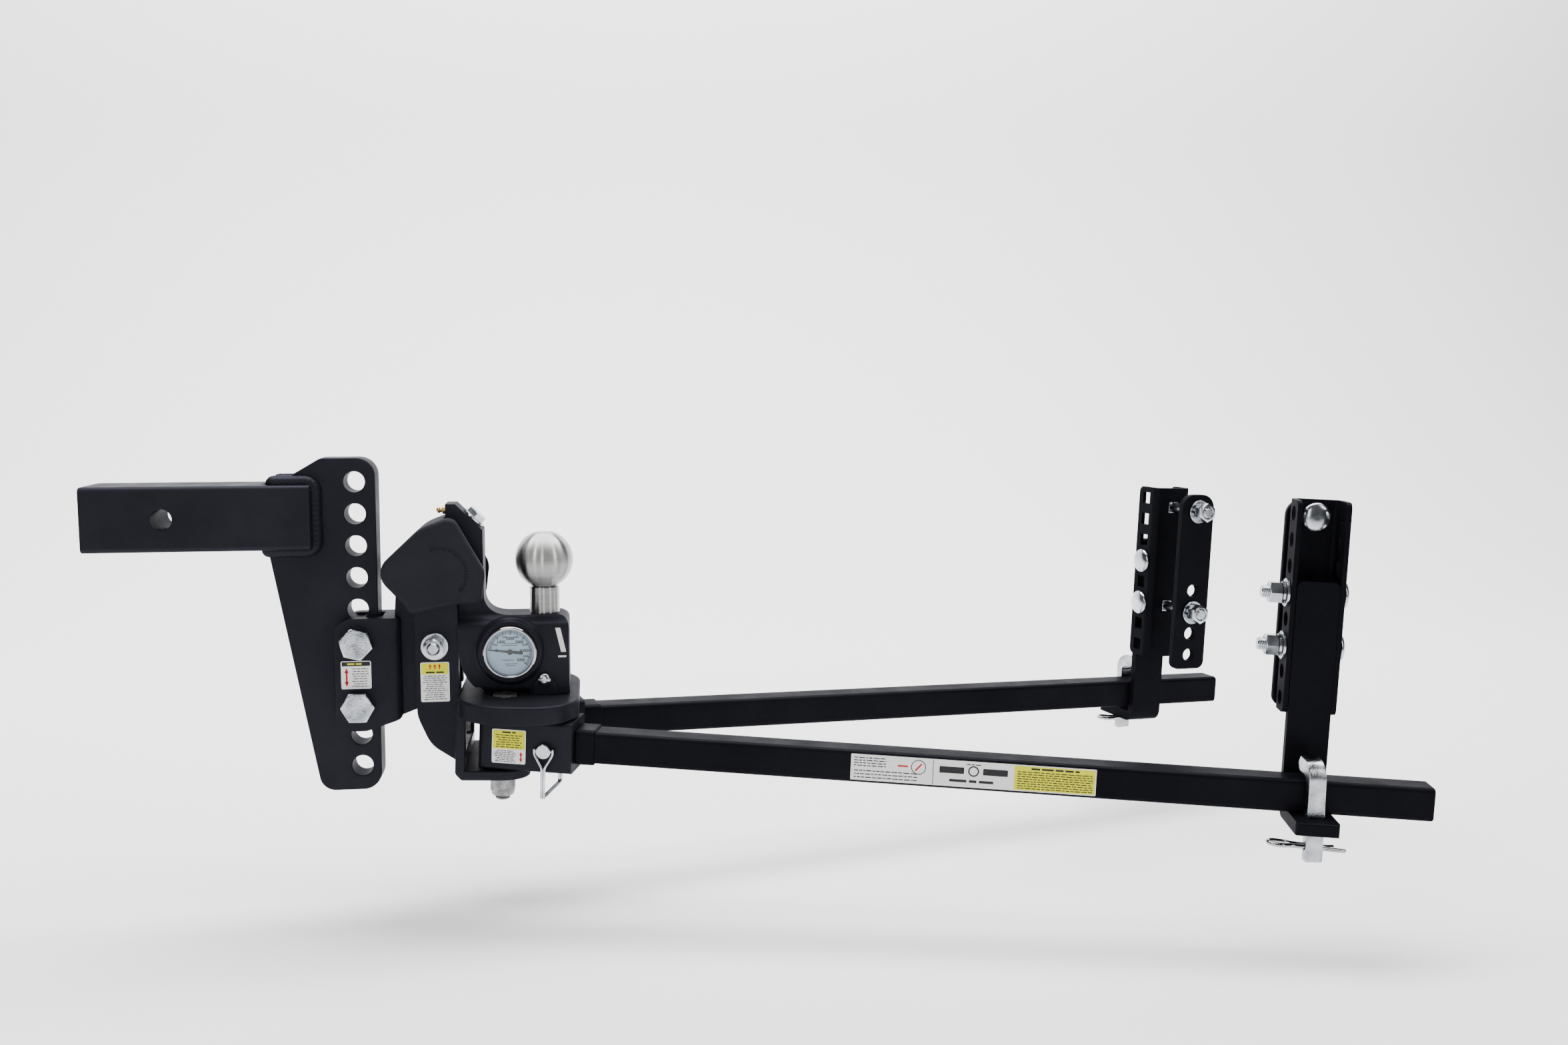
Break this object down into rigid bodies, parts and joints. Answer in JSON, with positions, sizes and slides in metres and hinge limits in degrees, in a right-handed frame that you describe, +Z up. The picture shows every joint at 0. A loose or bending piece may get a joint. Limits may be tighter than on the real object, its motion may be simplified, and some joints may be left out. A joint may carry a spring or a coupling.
{
  "type": "weight distribution hitch",
  "caption": "Adjustable drop hitch with a load-gauge ball head, two spring arms on king bolts and frame brackets that clamp a trailer's A-frame.",
  "frame": {"origin": "centre of the shank's flat receiver end", "axes": "+X from the tow vehicle towards the trailer, +Y to the far side, +Z up"},
  "size_m": [1.2638, 0.538, 0.3704],
  "materials": {
    "powder_coat": "satin black powder coat over steel, fine orange peel",
    "rubber": "matte moulded black rubber",
    "zinc_plate": "bright zinc plate with small scuffs",
    "galvanised": "dull galvanised grey",
    "stainless": "turned and brushed stainless steel",
    "chrome_bezel": "polished chrome",
    "brass": "machined bronze, greased",
    "plain_steel": "machined steel",
    "dial_face": "printed pale dial",
    "pointer_paint": "black painted pointer",
    "lens": "clear flat window"
  },
  "bodies": {
    "root": {"shank_bar": "powder_coat", "drop_plate": "powder_coat", "clevis_bracket": "powder_coat", "pivot_bushing": "brass", "height_bolt_upper": "zinc_plate", "height_bolt_lower": "zinc_plate", "height_nut_upper": "zinc_plate", "height_nut_lower": "zinc_plate"},
    "trunnion": {"trunnion_nut": "plain_steel"},
    "head": {"head_frame": "powder_coat", "clamp_bolt": "zinc_plate", "clamp_nut": "zinc_plate", "grease_fitting": "zinc_plate", "rubber_cover": "rubber", "ball_housing": "powder_coat", "cylinder_cap": "plain_steel", "lock_screw": "zinc_plate", "gauge_case": "chrome_bezel", "gauge_dial": "dial_face", "gauge_lens": "lens", "socket_yoke": "powder_coat", "near_king_bolt": "galvanised", "near_king_nut": "galvanised", "far_king_bolt": "galvanised", "far_king_nut": "galvanised"},
    "thrust": {"thrust_block": "brass"},
    "tilt_screw": {"lead_screw": "zinc_plate"},
    "ball": {"tow_ball": "stainless", "load_piston": "plain_steel"},
    "pointer": {"gauge_needle": "pointer_paint"},
    "near_arm": {"near_socket": "powder_coat", "near_spring_arm": "powder_coat", "near_arm_pin": "zinc_plate"},
    "near_bail": {"near_pin_bail": "zinc_plate"},
    "near_bracket": {"near_channel": "powder_coat", "near_hanger": "powder_coat", "near_backing_strap": "powder_coat", "near_keeper": "zinc_plate", "near_clip": "chrome_bezel", "near_side_bolt_upper": "zinc_plate", "near_side_bolt_lower": "zinc_plate", "near_side_nut_upper": "zinc_plate", "near_side_nut_lower": "zinc_plate", "near_frame_bolt_upper": "zinc_plate", "near_frame_bolt_lower": "zinc_plate"},
    "far_arm": {"far_socket": "powder_coat", "far_spring_arm": "powder_coat", "far_arm_pin": "zinc_plate"},
    "far_bail": {"far_pin_bail": "zinc_plate"},
    "far_bracket": {"far_channel": "powder_coat", "far_hanger": "powder_coat", "far_backing_strap": "powder_coat", "far_keeper": "zinc_plate", "far_clip": "chrome_bezel", "far_side_bolt_upper": "zinc_plate", "far_side_bolt_lower": "zinc_plate", "far_side_nut_upper": "zinc_plate", "far_side_nut_lower": "zinc_plate", "far_frame_bolt_upper": "zinc_plate", "far_frame_bolt_lower": "zinc_plate"}
  },
  "joints": [
    {"name": "head_tilt", "type": "hinge", "parent": "root", "child": "head", "pos_m": [0.328, 0, -0.13], "axis": [0, 1, 0], "range_deg": [-5, 6]},
    {"name": "trunnion_swivel", "type": "hinge", "parent": "root", "child": "trunnion", "pos_m": [0.304, 0, -0.067], "axis": [0, 1, 0], "range_deg": [-8, 9]},
    {"name": "bearing_swivel", "type": "hinge", "parent": "head", "child": "thrust", "pos_m": [0.3555, 0, -0.0155], "axis": [0, 1, 0], "range_deg": [-3, 5]},
    {"name": "tilt_screw_turn", "type": "hinge", "parent": "thrust", "child": "tilt_screw", "pos_m": [0.3555, 0, -0.0155], "axis": [0.7071, 0, 0.7071], "range_deg": [-470, 560]},
    {"name": "ball_plunge", "type": "slide", "parent": "head", "child": "ball", "axis": [0, 0, 1], "range_m": [-0.002, 0], "stiffness_N_per_m": 30000, "springref_m": 0.002},
    {"name": "pointer_turn", "type": "hinge", "parent": "head", "child": "pointer", "pos_m": [0.402, -0.038, -0.1356], "axis": [0, 1, 0], "range_deg": [-1, 226]},
    {"name": "near_arm_swing", "type": "hinge", "parent": "head", "child": "near_arm", "pos_m": [0.3942, -0.0342, -0.2241], "axis": [0.0407, 0, 0.9992], "range_deg": [-50, 4]},
    {"name": "near_bail_swing", "type": "hinge", "parent": "near_arm", "child": "near_bail", "pos_m": [0.43425, -0.07408, -0.22823], "axis": [0.9706, -0.2373, -0.0395], "range_deg": [-100, 0]},
    {"name": "near_bracket_slide", "type": "slide", "parent": "near_arm", "child": "near_bracket", "axis": [0.9706, -0.2373, -0.0395], "range_m": [-0.06, 0.06]},
    {"name": "far_arm_swing", "type": "hinge", "parent": "head", "child": "far_arm", "pos_m": [0.3942, 0.0342, -0.2241], "axis": [0.0407, 0, 0.9992], "range_deg": [-4, 50]},
    {"name": "far_bail_swing", "type": "hinge", "parent": "far_arm", "child": "far_bail", "pos_m": [0.43425, 0.07408, -0.22823], "axis": [0.9706, 0.2373, -0.0395], "range_deg": [0, 100]},
    {"name": "far_bracket_slide", "type": "slide", "parent": "far_arm", "child": "far_bracket", "axis": [0.9706, 0.2373, -0.0395], "range_m": [-0.06, 0.06]}
  ],
  "couplings": [
    {"joint": "trunnion_swivel", "follows": "head_tilt", "ratio": 1.3786},
    {"joint": "bearing_swivel", "follows": "head_tilt", "ratio": 0.3786},
    {"joint": "tilt_screw_turn", "follows": "head_tilt", "ratio": 91.306},
    {"joint": "pointer_turn", "follows": "ball_plunge", "rad_per_m": -1963.5}
  ]
}
